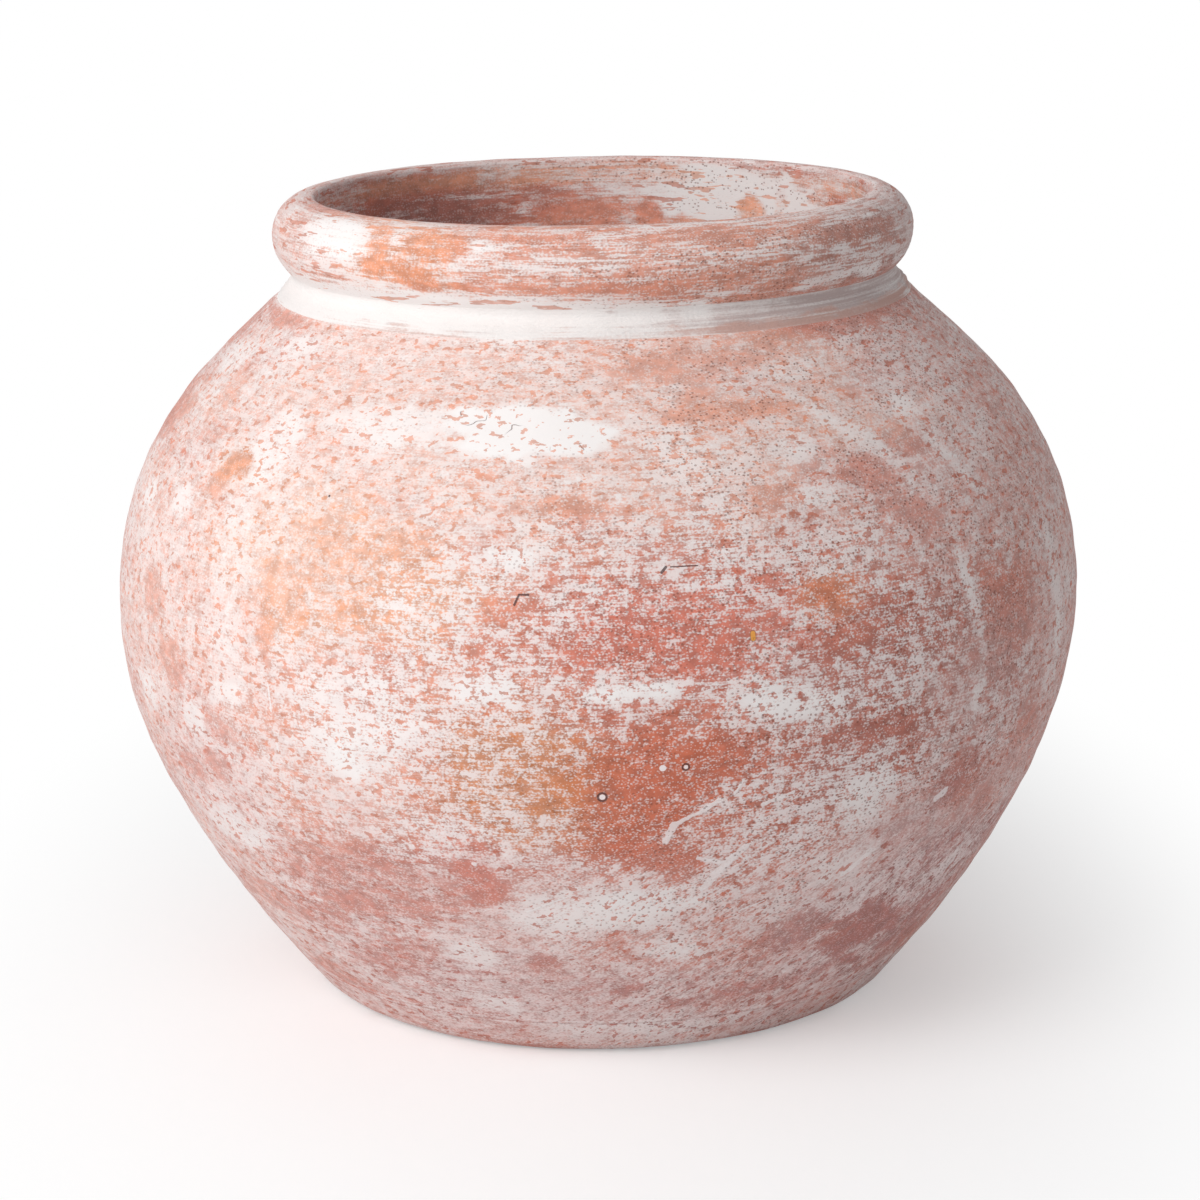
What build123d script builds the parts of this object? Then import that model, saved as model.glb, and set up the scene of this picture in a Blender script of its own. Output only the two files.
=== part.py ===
from build123d import *

import os
from math import atan, degrees, radians, sin

# A round-bellied terracotta water jar with a thick rolled rim, in the clay sections it is built from.
#
# Lengths are in millimetres and angles in degrees. The jar stands on z = 0 with its axis on Z, so x is
# the radius in every section below. A jar of this size is too large to throw in one go. A lower bowl is
# luted on a base slab, an upper bowl is thrown separately and closed over it, and a last coil on the
# neck is thrown into a rolled rim. Soft coils are pressed over the joints, inside and out.

# Belly, and the thickness of the wall there
belly_radius = 180.0
belly_height = 149.0
wall = 11.0

# Haunch, from the belly down to the slab. The wall leans there, and is measured level
foot_joint_radius = 121.9
foot_joint_wall = 16.5
haunch_lean_share = 1.10
haunch_rise_share = 0.49

# Shoulder, from the belly up to the neck, measured in the same way
neck_height = 265.0
neck_joint_wall = 17.0
shoulder_lean_share = 1.43
shoulder_rise_share = 0.71

# Base slab
slab_thickness = 16.0
foot_edge_round = 11.0
standing_ring_width = 16.0
underside_hollow = 2.5  # the middle is pressed up, so that the jar stands on a ring
hollow_slope = 9.0  # the width over which the hollow reaches its depth
seam_groove = 0.8  # left open round the outside of the foot joint

# Collar and rolled rim
throat_radius = 102.0
throat_flare = 6.4  # what the throat opens out by at its foot, to meet the shoulder
flare_height = 13.8
flare_rise = 1.6  # how far above the neck joint it starts
collar_wall = 8.0
collar_step = 1.0  # what the edge of the shoulder stands out past the collar
crest_gap = 4.2  # from the throat to the crest of the roll
roll_depth = 11.8  # from the crest of the roll out to its widest line
roll_rise = 13.8  # from its widest line up to the crest
roll_fall = 17.0  # and down to its lower edge, where the roll is fuller
roll_gap = 0.9  # what is left of the collar under the roll
lip_round = 3.0

# Keyed joints, a ridge on one edge in a groove of the other
key_width = 5.0
key_height = 3.0

# Coils pressed over the joints
corner_coil_reach = 20.0
belt_coil_height = 30.0
belt_coil_depth = 3.5
fillet_length = 8.0  # how far the neck fillet is smeared down the shoulder
fillet_cover = 1.3  # what it stands out and up from the edge of the shoulder
fillet_reach_share = 0.6  # how far round the underside of the roll it could reach
fillet_lap = 1.0  # what its outline runs into the roll, which trims it

overrun = 60.0  # what a cutting outline runs past the clay
export_folder = "parts"

collar_radius = throat_radius + collar_wall
neck_joint_radius = collar_radius + collar_step
crest_radius = throat_radius + crest_gap
roll_height = neck_height + roll_gap + roll_fall
rim_height = roll_height + roll_rise


def wall_arcs(widest_radius, end_radius, end_height, lean_share, rise_share):
    """Draws the wall from upright at the belly to its end, and returns the second of its two arcs.

    They meet at a share of the way up or down, where the wall leans a share more than the straight
    line from the belly to the end.
    """
    travel_in = widest_radius - end_radius
    travel_up = end_height - belly_height
    lean = lean_share * degrees(atan(travel_in / travel_up))
    curve = rise_share * travel_up / sin(radians(lean))
    upright = (0, travel_up)
    belly_arc = JernArc((widest_radius, belly_height), upright, curve, lean)
    return TangentArc(belly_arc @ 1, (end_radius, end_height), tangent=belly_arc % 1)


def keyed_joint(middle, height, ridge):
    """The line on which two clay edges meet, from the axis to well outside the jar.

    The ridge stands up from the lower edge. Below zero it hangs from the upper one instead.
    """
    return [
        (0, height),
        (middle - key_width / 2, height),
        (middle, height + ridge),
        (middle + key_width / 2, height),
        (belly_radius + overrun, height),
    ]


def clay_between(lower_joint, upper_joint):
    """Adds the part of the clay section that lies between two joints to the open sketch."""
    add(clay_section.sketch)
    Polygon(*lower_joint, *reversed(upper_joint), align=None, mode=Mode.INTERSECT)


# Section of all the clay as it is fired, which the joints then divide
with BuildSketch(Plane.XZ) as clay_section:
    with BuildLine():
        outer_haunch = wall_arcs(
            belly_radius,
            foot_joint_radius,
            slab_thickness,
            haunch_lean_share,
            haunch_rise_share,
        )
        inner_haunch = wall_arcs(
            belly_radius - wall,
            foot_joint_radius - foot_joint_wall,
            slab_thickness,
            haunch_lean_share,
            haunch_rise_share,
        )
        outer_shoulder = wall_arcs(
            belly_radius,
            neck_joint_radius,
            neck_height,
            shoulder_lean_share,
            shoulder_rise_share,
        )
        inner_shoulder = wall_arcs(
            belly_radius - wall,
            neck_joint_radius - neck_joint_wall,
            neck_height,
            shoulder_lean_share,
            shoulder_rise_share,
        )
        Line(outer_haunch @ 1, inner_haunch @ 1)
        Line(outer_shoulder @ 1, inner_shoulder @ 1)
    make_face()

    # The slab carries on the lean of the wall down to the rounded edge of the foot
    with BuildLine():
        seam = outer_haunch @ 1
        foot_fall = outer_haunch % 1
        foot_radius = seam.X + foot_fall.X * slab_thickness / -foot_fall.Y
        Polyline((0, 0), (foot_radius, 0), seam, (0, slab_thickness), close=True)
    make_face()
    foot_edge = clay_section.vertices().sort_by_distance((foot_radius, 0))[0]
    fillet(foot_edge, foot_edge_round)
    standing_radius = foot_radius - standing_ring_width
    with BuildLine():
        Polyline(
            (0, 0),
            (standing_radius, 0),
            (standing_radius - hollow_slope, underside_hollow),
            (0, underside_hollow),
            close=True,
        )
    make_face(mode=Mode.SUBTRACT)

    # Collar, with the roll folded out over it
    with Locations((throat_radius, neck_height)):
        Rectangle(collar_wall, roll_height - neck_height, align=(Align.MIN, Align.MIN))
    with BuildLine():
        widest_of_roll = (crest_radius + roll_depth, roll_height)
        over_the_roll = TangentArc(widest_of_roll, (crest_radius, rim_height), tangent=(0, 1))
        under_the_roll = TangentArc(
            widest_of_roll, (crest_radius, roll_height - roll_fall), tangent=(0, -1)
        )
        Polyline(
            over_the_roll @ 1,
            (throat_radius, rim_height),
            (throat_radius, neck_height),
            under_the_roll @ 1,
        )
    make_face()
    lip = clay_section.vertices().sort_by_distance((throat_radius, rim_height))[0]
    fillet(lip, lip_round)

    # The throat is cut straight through, and opens out below to meet the shoulder
    with BuildLine():
        flare_top = neck_height + flare_rise
        flare = TangentArc(
            (throat_radius, flare_top),
            (throat_radius + throat_flare, flare_top - flare_height),
            tangent=(0, -1),
        )
        Polyline(
            flare @ 1,
            (0, flare_top - flare_height),
            (0, rim_height),
            (throat_radius, rim_height),
            flare @ 0,
        )
    make_face(mode=Mode.SUBTRACT)

foot_joint = keyed_joint((seam.X + (inner_haunch @ 1).X) / 2, slab_thickness, -key_height)
belly_joint = keyed_joint(belly_radius - wall / 2, belly_height, key_height)
neck_joint = keyed_joint(throat_radius + collar_wall / 2, neck_height, key_height)
under_the_jar = [(0, -overrun), (belly_radius + overrun, -overrun)]
over_the_jar = [(0, rim_height + overrun), (belly_radius + overrun, rim_height + overrun)]

# Slab that the jar stands on, with its edge eased where the wall is luted to it
with BuildPart() as base_slab:
    with BuildSketch(Plane.XZ) as slab_section:
        clay_between(under_the_jar, foot_joint)
        chamfer(slab_section.vertices().sort_by(Axis.X)[-1], seam_groove)
    revolve(axis=Axis.Z)
base_slab.part.label = "base_slab"

# First thrown section, from the slab to the widest line
with BuildPart() as lower_bowl:
    with BuildSketch(Plane.XZ):
        clay_between(foot_joint, belly_joint)
    revolve(axis=Axis.Z)
lower_bowl.part.label = "lower_bowl"

# Second thrown section, from the widest line over the shoulder to the neck
with BuildPart() as upper_bowl:
    with BuildSketch(Plane.XZ):
        clay_between(belly_joint, neck_joint)
    revolve(axis=Axis.Z)
upper_bowl.part.label = "upper_bowl"

# Last coil, thrown into a short collar and folded out into the roll
with BuildPart() as rolled_rim:
    with BuildSketch(Plane.XZ):
        clay_between(neck_joint, over_the_jar)
    revolve(axis=Axis.Z)
rolled_rim.part.label = "rolled_rim"

# Soft coil pressed into the corner between the floor and the wall
with BuildPart() as corner_coil:
    with BuildSketch(Plane.XZ):
        corner = inner_haunch @ 1
        with BuildLine():
            floor_end = corner - Vector(corner_coil_reach, 0)
            wall_end = corner - (inner_haunch % 1) * corner_coil_reach
            face_of_coil = TangentArc(floor_end, wall_end, tangent=(1, 0))
            in_the_slab = slab_thickness / 2
            Polyline(wall_end, (corner.X, in_the_slab), (floor_end.X, in_the_slab), floor_end)
        make_face()
        add(clay_section.sketch, mode=Mode.SUBTRACT)
    revolve(axis=Axis.Z)
corner_coil.part.label = "corner_coil"

# Flat coil smeared over the belly joint, reached through the mouth
with BuildPart() as belt_coil:
    with BuildSketch(Plane.XZ):
        with BuildLine():
            inner_wall = belly_radius - wall
            belt_face = ThreePointArc(
                (inner_wall, belly_height - belt_coil_height / 2),
                (inner_wall - belt_coil_depth, belly_height),
                (inner_wall, belly_height + belt_coil_height / 2),
            )
            Line(belt_face @ 1, belt_face @ 0)
        make_face()
        add(clay_section.sketch, mode=Mode.SUBTRACT)
    revolve(axis=Axis.Z)
belt_coil.part.label = "belt_coil"

# Pale slip fillet, drawn round under the roll with a fingertip to close the neck joint
with BuildPart() as neck_fillet:
    with BuildSketch(Plane.XZ):
        with BuildLine():
            start_share = 1 - fillet_length / outer_shoulder.length
            over_the_edge = TangentArc(
                outer_shoulder @ start_share,
                outer_shoulder @ 1 + Vector(fillet_cover, fillet_cover),
                tangent=outer_shoulder % start_share,
            )
            fingertip_round = TangentArc(
                over_the_edge @ 1,
                under_the_roll @ fillet_reach_share - Vector(fillet_lap, 0),
                tangent=over_the_edge % 1,
            )
            in_the_collar = throat_radius + collar_wall / 2
            Polyline(
                fingertip_round @ 1,
                (in_the_collar, (fingertip_round @ 1).Y),
                (in_the_collar, neck_height),
                over_the_edge @ 0,
            )
        make_face()
        add(clay_section.sketch, mode=Mode.SUBTRACT)
    revolve(axis=Axis.Z)
neck_fillet.part.label = "neck_fillet"

os.makedirs(export_folder, exist_ok=True)
for piece in (base_slab, lower_bowl, upper_bowl, rolled_rim, corner_coil, belt_coil, neck_fillet):
    export_step(piece.part, f"{export_folder}/{piece.part.label}.step")
    print(piece.part.label, len(piece.part.solids()), round(piece.part.volume), piece.part.is_valid)
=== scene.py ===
# %% [markdown]
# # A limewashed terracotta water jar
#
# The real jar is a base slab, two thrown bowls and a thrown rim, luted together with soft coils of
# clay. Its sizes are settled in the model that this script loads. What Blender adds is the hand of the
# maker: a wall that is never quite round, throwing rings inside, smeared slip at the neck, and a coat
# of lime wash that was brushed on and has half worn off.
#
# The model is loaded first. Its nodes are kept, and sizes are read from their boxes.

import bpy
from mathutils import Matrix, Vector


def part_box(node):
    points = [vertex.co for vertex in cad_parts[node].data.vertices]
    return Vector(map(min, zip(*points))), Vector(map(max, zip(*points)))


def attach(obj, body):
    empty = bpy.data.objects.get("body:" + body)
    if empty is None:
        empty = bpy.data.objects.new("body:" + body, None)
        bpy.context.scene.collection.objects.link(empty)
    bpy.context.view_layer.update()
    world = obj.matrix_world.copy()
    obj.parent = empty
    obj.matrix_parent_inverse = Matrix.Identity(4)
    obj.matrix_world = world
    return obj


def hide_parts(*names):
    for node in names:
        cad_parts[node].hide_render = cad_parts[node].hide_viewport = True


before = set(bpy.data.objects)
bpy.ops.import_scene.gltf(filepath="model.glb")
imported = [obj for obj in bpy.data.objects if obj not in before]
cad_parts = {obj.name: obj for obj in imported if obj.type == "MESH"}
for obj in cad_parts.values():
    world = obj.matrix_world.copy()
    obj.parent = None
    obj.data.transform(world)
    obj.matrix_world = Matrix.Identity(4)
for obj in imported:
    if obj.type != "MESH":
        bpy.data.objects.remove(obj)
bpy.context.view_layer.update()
print("nodes:", sorted(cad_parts))

# %% [markdown]
# ## Sizes
#
# Blender works in metres, and a potter in millimetres, so lengths are written times MM. What can be
# read from the model's nodes is read from them. The rest are the jar's own driving sizes.

# %% Sizes read from the model
import math

import bpy
import numpy as np
from mathutils import Vector, noise

MM = 0.001
belly_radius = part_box("lower_bowl")[1].x
belly_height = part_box("upper_bowl")[0].z
slab_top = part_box("base_slab")[1].z
neck_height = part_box("rolled_rim")[0].z
rim_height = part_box("rolled_rim")[1].z
roll_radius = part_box("rolled_rim")[1].x
print("belly", round(belly_radius / MM, 2), "at", round(belly_height / MM, 2))
print("rim", round(roll_radius / MM, 2), "at", round(rim_height / MM, 2))

# %% Sizes of the clay: the wall, from the foot up to the neck
wall = 11 * MM
foot_joint_radius = 121.9 * MM
foot_joint_wall = 16.5 * MM
neck_joint_wall = 17 * MM
haunch_shares = (1.10, 0.49)  # of the lean and of the rise, where the wall's two arcs meet
shoulder_shares = (1.43, 0.71)
foot_edge_round = 11 * MM
standing_ring_width = 16 * MM
underside_hollow = 2.5 * MM  # pressed up, so that the jar stands on a ring
hollow_slope = 9 * MM
seam_groove = 0.8 * MM

# %% Sizes of the clay: collar, roll, keyed joints and coils
throat_radius = 102 * MM
throat_flare = 6.4 * MM  # how far the throat opens out at its foot
flare_height = 13.8 * MM
flare_rise = 1.6 * MM
collar_radius = throat_radius + 8 * MM
neck_joint_radius = collar_radius + 1 * MM
crest_radius = throat_radius + 4.2 * MM
roll_height = neck_height + 17.9 * MM
roll_foot = neck_height + 0.9 * MM
lip_round = 1.6 * MM  # a little crisper than the model's, where the thrower's leather passed
key_width = 5 * MM
key_height = 3 * MM
corner_reach = 20 * MM
belt_depth = 3.5 * MM
belt_half = 15 * MM
fillet_length = 8 * MM  # how far the neck's slip is smeared down the shoulder
fillet_cover = 1.3 * MM
fillet_reach_share = 0.6
fillet_lap = 1 * MM
print("wall", round(wall / MM), "mm thick, throat", round(throat_radius / MM), "mm in radius")

# %% [markdown]
# ## Camera
#
# The photograph looks slightly down at the jar from a little over a metre, through a long lens, and is
# turned by just under a degree. The aim point is on the jar's axis.

# %% Camera
lens_pitch = math.radians(14.084)
lens_roll = math.radians(0.906)
aim_height = 140.02 * MM
camera_distance = 1250.05 * MM
photo_width = 1200
focal_pixels = 3284.33
sideways_pixels = 1.49
sensor_width = 36

camera_data = bpy.data.cameras.new("camera")
camera_data.sensor_width = sensor_width
camera_data.lens = sensor_width * focal_pixels / photo_width
camera_data.shift_x = sideways_pixels / photo_width
camera = bpy.data.objects.new("camera", camera_data)
bpy.context.scene.collection.objects.link(camera)
bpy.context.scene.camera = camera

level = Vector((1, 0, 0))
upward = Vector((0, math.sin(lens_pitch), math.cos(lens_pitch)))
backward = Vector((0, -math.cos(lens_pitch), math.sin(lens_pitch)))
camera_x = level * math.cos(lens_roll) - upward * math.sin(lens_roll)
camera_y = level * math.sin(lens_roll) + upward * math.cos(lens_roll)
turned = camera.matrix_world.copy()
for column, axis in enumerate((camera_x, camera_y, backward)):
    for row in range(3):
        turned[row][column] = axis[row]
turned.translation = Vector((0, 0, aim_height)) + backward * camera_distance
camera.matrix_world = turned
print("lens", round(camera_data.lens, 2), "mm, camera at", [round(v, 3) for v in turned.translation])

# %% [markdown]
# ## Sections
#
# Every piece of a thrown jar is a section spun round the axis. A section is drawn as a line of points
# in the XZ plane: radius across, height up. Round stretches are arcs that leave a point along a given
# heading, which is how the wall flows from the belly into the haunch and the shoulder.

# %% An arc that leaves a point along a heading
def arc(start, heading, end, spacing):
    """Points of the arc from start to end, both included, and the heading at its end."""
    start = np.array(start, float)
    end = np.array(end, float)
    heading = np.array(heading, float) / math.hypot(*heading)
    chord = end - start
    side = np.array((-heading[1], heading[0]))
    radius = chord @ chord / (2 * side @ chord)
    cross = heading[0] * chord[1] - heading[1] * chord[0]
    turn = 2 * math.atan2(cross, heading @ chord)
    steps = max(2, round(abs(radius * turn) / spacing))
    angles = np.linspace(0, turn, steps + 1)[:, None]
    centre = start + side * radius
    arm = start - centre
    quarter = np.array((-arm[1], arm[0]))
    points = centre + arm * np.cos(angles) + quarter * np.sin(angles)
    return points, heading * math.cos(turn) + side * math.sin(turn)


fine = 1.7 * MM
coarse = 4 * MM
close = 1.1 * MM


def line(*corners, spacing=coarse):
    """Points along straight runs from corner to corner, no further apart than the spacing."""
    points = [np.array(corners[0], float)]
    for corner in corners[1:]:
        run = np.array(corner, float) - points[-1]
        steps = max(1, math.ceil(math.hypot(*run) / spacing))
        start = points[-1]
        points += [start + run * step / steps for step in range(1, steps + 1)]
    return np.array(points)


def run_along(points):
    """How far along a line of points each one is."""
    return np.r_[0, np.cumsum(np.hypot(*np.diff(points, axis=0).T))]


# %% One face of the wall, from upright at the belly to its end
def wall_face(widest, end, shares, spacing):
    """The same two arcs as the model's: points from the belly to the end, and the last heading."""
    travel_up = end[1] - belly_height
    lean = shares[0] * math.atan((widest - end[0]) / travel_up)
    curve = shares[1] * travel_up / math.sin(lean)
    elbow = (widest - curve * (1 - math.cos(lean)), belly_height + curve * math.sin(lean))
    belly_arc, heading = arc((widest, belly_height), (0, travel_up), elbow, spacing)
    end_arc, heading = arc(elbow, heading, end, spacing)
    return np.vstack((belly_arc, end_arc[1:])), heading


seam = (foot_joint_radius, slab_top)
corner = (foot_joint_radius - foot_joint_wall, slab_top)
neck_edge = (neck_joint_radius, neck_height)
outer_haunch, haunch_fall = wall_face(belly_radius, seam, haunch_shares, fine)
outer_shoulder, _ = wall_face(belly_radius, neck_edge, shoulder_shares, fine)
inner_haunch, corner_fall = wall_face(belly_radius - wall, corner, haunch_shares, coarse)
inner_end = (neck_joint_radius - neck_joint_wall, neck_height)
inner_shoulder, _ = wall_face(belly_radius - wall, inner_end, shoulder_shares, coarse)
print("outer wall:", len(outer_haunch) + len(outer_shoulder), "points")

# %% The rolled rim's own arcs, and where the throat's flare meets the shoulder inside
widest_of_roll = (roll_radius, roll_height)
over_roll, _ = arc(widest_of_roll, (0, 1), (crest_radius, rim_height), close)
under_roll, _ = arc(widest_of_roll, (0, -1), (crest_radius, roll_foot), close)
flare_top = (throat_radius, neck_height + flare_rise)
flare_end = (throat_radius + throat_flare, neck_height + flare_rise - flare_height)
flare, _ = arc(flare_top, (0, -1), flare_end, close)


def radius_at(height, points):
    """Radius of a wall face at a height, between its points."""
    order = np.argsort(points[:, 1])
    return np.interp(height, points[order, 1], points[order, 0])


in_the_clay = [p for p in flare if p[1] < neck_height and p[0] > radius_at(p[1], inner_shoulder)]
flare_in_shoulder = np.array([(radius_at(neck_height, flare), neck_height)] + in_the_clay)
below_the_flare = inner_shoulder[inner_shoulder[:, 1] < in_the_clay[-1][1]]
print("the flare meets the shoulder at", (in_the_clay[-1] / MM).round(1))


# %% The ridge that keys one edge of clay into the next
def key(middle, height, ridge):
    """Three points of a keyed joint, from its inner side out."""
    half = key_width / 2
    return [(middle - half, height), (middle, height + ridge), (middle + half, height)]


foot_key = key((seam[0] + corner[0]) / 2, slab_top, -key_height)
belly_key = key(belly_radius - wall / 2, belly_height, key_height)
neck_key = key((throat_radius + collar_radius) / 2, neck_height, key_height)
ridges = [round(middle[0] / MM, 1) for _, middle, _ in (foot_key, belly_key, neck_key)]
print("keyed joints", ridges, "mm from the axis")

# %% [markdown]
# ## Spinning a piece
#
# By hand, a potter's section is drawn in edit mode: a plane is merged into one vertex, and the vertex
# is extruded from point to point. The line is then spun round the axis. The Screw modifier does that
# in a moment where the Spin tool takes a minute at this many steps. Each vertex keeps the number of
# its row, so that later steps know how far up the wall it is, and on which side. A piece whose section
# starts and ends on the axis needs no closing, and the others are closed by one more edge.

# %% Draw a section and spin it
columns = 720
weld = 0.001 * MM


def deselect():
    """Leaves nothing selected, because an operator acts on all that is."""
    bpy.ops.object.select_all(action="DESELECT")


def draw(name, points):
    """A new object whose vertices run along the points."""
    deselect()
    bpy.ops.mesh.primitive_plane_add(size=MM, calc_uvs=False, location=(points[0][0], 0, points[0][1]))
    bpy.ops.object.transform_apply()
    piece = bpy.context.object
    piece.name = piece.data.name = name
    bpy.ops.object.mode_set(mode="EDIT")
    bpy.ops.mesh.merge(type="CENTER")
    for step in np.diff(points, axis=0):
        bpy.ops.mesh.extrude_region_move(TRANSFORM_OT_translate={"value": (step[0], 0, step[1])})
    bpy.ops.object.mode_set(mode="OBJECT")
    return piece


def apply(piece, modifier):
    """Makes what a modifier does part of the mesh."""
    bpy.context.view_layer.objects.active = piece
    bpy.ops.object.modifier_apply(modifier=modifier.name)


# %% Read and write many numbers of a mesh at once
def gather(parts, name, each=1, kind=np.float32):
    """One property of all vertices, corners or faces, as one flat array."""
    values = np.empty(len(parts) * each, kind)
    parts.foreach_get(name, values)
    return values


def coordinates(piece):
    """The mesh's vertices as rows of x, y, z."""
    return gather(piece.data.vertices, "co", 3).reshape(-1, 3).astype(float)


def write(piece, name, values):
    """Stores one number for each vertex, where a material can read it."""
    layer = piece.data.attributes.new(name, "FLOAT", "POINT")
    layer.data.foreach_set("value", np.asarray(values, np.float32))


def read(piece, name):
    """One stored number for each vertex."""
    return gather(piece.data.attributes[name].data, "value").astype(float)


# %% A spun piece knows its stretches: outside, joint and inside
SIDES = ("outside", "joint", "inside")


def spin(name, stretches, closed=True):
    """Spins stretches of (side, length at its start, points) into one closed piece."""
    points = [stretches[0][2][0]]
    sides = [stretches[0][0]]
    lengths = [stretches[0][1]]
    for side, start, stretch in stretches:
        points += list(stretch[1:])
        sides += [side] * (len(stretch) - 1)
        lengths += list(start + run_along(stretch)[1:])
    piece = draw(name, np.array(points))
    place = coordinates(piece)[:, [0, 2]]
    row = [int(np.argmin(np.hypot(*(np.array(points) - p).T))) for p in place]
    write(piece, "row", row)
    if closed:
        bpy.ops.object.mode_set(mode="EDIT")
        bpy.ops.mesh.select_all(action="DESELECT")
        bpy.ops.object.mode_set(mode="OBJECT")
        for end in (0, len(points) - 1):
            piece.data.vertices[row.index(end)].select = True
        bpy.ops.object.mode_set(mode="EDIT")
        bpy.ops.mesh.edge_face_add()
        bpy.ops.object.mode_set(mode="OBJECT")
    screw = piece.modifiers.new("spin", "SCREW")
    screw.steps = screw.render_steps = columns
    screw.use_merge_vertices = True
    screw.merge_threshold = weld
    apply(piece, screw)
    bpy.ops.object.mode_set(mode="EDIT")
    bpy.ops.mesh.select_all(action="SELECT")
    bpy.ops.mesh.remove_doubles(threshold=weld)
    bpy.ops.mesh.normals_make_consistent(inside=False)
    bpy.ops.object.mode_set(mode="OBJECT")
    piece["sides"] = [SIDES.index(side) for side in sides]
    piece["lengths"] = [float(length) for length in lengths]
    print(name, len(points), "rows", len(piece.data.vertices), "vertices")
    return piece


# %% [markdown]
# ## The seven pieces
#
# Lengths up the wall are measured from the edge of the foot over the outside, because the brush marks
# of the wash run along the surface. In the throat they carry on from the lip. On faces that the photo
# doesn't show they start again past a metre, out of reach of any painted dab. The pieces meet on their
# keyed joints, so those rows are the model's own.

# %% Where lengths start on the hidden faces
upper_inside = 1.035
belt_inside = 1.145
lower_inside = 1.16
corner_inside = 1.45
floor_inside = 1.5
underside_start = 2.0
hidden_starts = (upper_inside, belt_inside, lower_inside, corner_inside, floor_inside, underside_start)
print("hidden faces start at", hidden_starts, "metres")


# %% Base slab, with the edge of the foot rounded and its middle pressed up
def length_of(points):
    """How long a line of points is."""
    return float(np.hypot(*np.diff(points, axis=0).T).sum())


outer_lean = math.atan2(-haunch_fall[1], -haunch_fall[0])
foot_radius = seam[0] + haunch_fall[0] * slab_top / -haunch_fall[1]
round_reach = foot_edge_round * math.tan(outer_lean / 2)
foot_start = (foot_radius - round_reach, 0)
foot_end = (foot_radius + round_reach * math.cos(outer_lean), round_reach * math.sin(outer_lean))
foot_round, _ = arc(foot_start, (1, 0), foot_end, close)
ring_inside = foot_radius - standing_ring_width
hollow_edge = (ring_inside - hollow_slope, underside_hollow)
underside = line((0, underside_hollow), hollow_edge, (ring_inside, 0), foot_start)
seam_edge = np.array(seam) + haunch_fall * seam_groove
slab_side = line(foot_end, seam_edge, (seam[0] - seam_groove, slab_top), spacing=close)
slab_floor = line(*reversed(foot_key), (0, slab_top), spacing=2 * coarse)
side_length = length_of(foot_round)
seam_length = side_length + math.dist(foot_end, seam)
base_slab = spin(
    "base_slab_clay",
    [
        ("inside", underside_start, underside),
        ("outside", 0, foot_round),
        ("outside", side_length, slab_side),
        ("joint", 0, line(slab_side[-1], foot_key[2])),
        ("inside", floor_inside, slab_floor),
    ],
    closed=False,
)

# %% Lengths from the foot up the outside of the wall
shoulder_length = length_of(outer_shoulder)
belly_length = seam_length + length_of(outer_haunch)
neck_length = belly_length + shoulder_length
print("from the foot to the seam", round(seam_length / MM, 1), "to the neck", round(neck_length / MM, 1))

# %% Lower bowl
lower_bowl = spin(
    "lower_bowl_clay",
    [
        ("outside", seam_length, outer_haunch[::-1]),
        ("joint", 0, line(outer_haunch[0], *reversed(belly_key), inner_haunch[0])),
        ("inside", lower_inside, inner_haunch),
        ("joint", 0, line(corner, *foot_key)),
    ],
)

# %% Upper bowl
upper_bowl = spin(
    "upper_bowl_clay",
    [
        ("outside", belly_length, outer_shoulder),
        ("joint", 0, line(neck_edge, *reversed(neck_key), flare_in_shoulder[0])),
        ("inside", upper_inside, np.vstack((flare_in_shoulder, below_the_flare[::-1]))),
        ("joint", 0, line(inner_shoulder[0], *belly_key)),
    ],
)

# %% Rolled rim: collar, underside and top of the roll, eased lip, throat
meeting_height = float(np.interp(collar_radius, under_roll[::-1, 0], under_roll[::-1, 1]))
meeting = (collar_radius, meeting_height)
roll_lower = [meeting] + [p for p in under_roll[::-1] if p[0] > collar_radius]
lip_top = (throat_radius + lip_round, rim_height)
lip_arc, _ = arc(lip_top, (-1, 0), (throat_radius, rim_height - lip_round), close)
crown = np.vstack((roll_lower, over_roll[1:], line(over_roll[-1], lip_top)[1:], lip_arc[1:]))
throat_line = line(lip_arc[-1], flare_top, flare_in_shoulder[0], spacing=2 * MM)
collar_foot = (collar_radius, neck_height)
rolled_rim = spin(
    "rolled_rim_clay",
    [
        ("joint", 0, line(collar_foot, meeting)),
        ("outside", neck_length, crown),
        ("inside", neck_length + length_of(crown), throat_line),
        ("joint", 0, line(throat_line[-1], *neck_key, collar_foot)[:-1]),
    ],
)

# %% Corner coil, pressed into the corner between floor and wall
floor_end = (corner[0] - corner_reach, slab_top)
wall_end = np.array(corner) - corner_fall * corner_reach
coil_arc, _ = arc(floor_end, (1, 0), wall_end, 2 * MM)
coil_face = np.array([p for p in coil_arc if p[0] < radius_at(p[1], inner_haunch)])
behind_coil = inner_haunch[inner_haunch[:, 1] < coil_face[-1][1]]
corner_coil = spin(
    "corner_coil_clay",
    [
        ("inside", corner_inside, coil_face),
        ("joint", 0, np.vstack((coil_face[-1:], behind_coil))),
        ("joint", 0, line(corner, floor_end)[:-1]),
    ],
)

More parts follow.
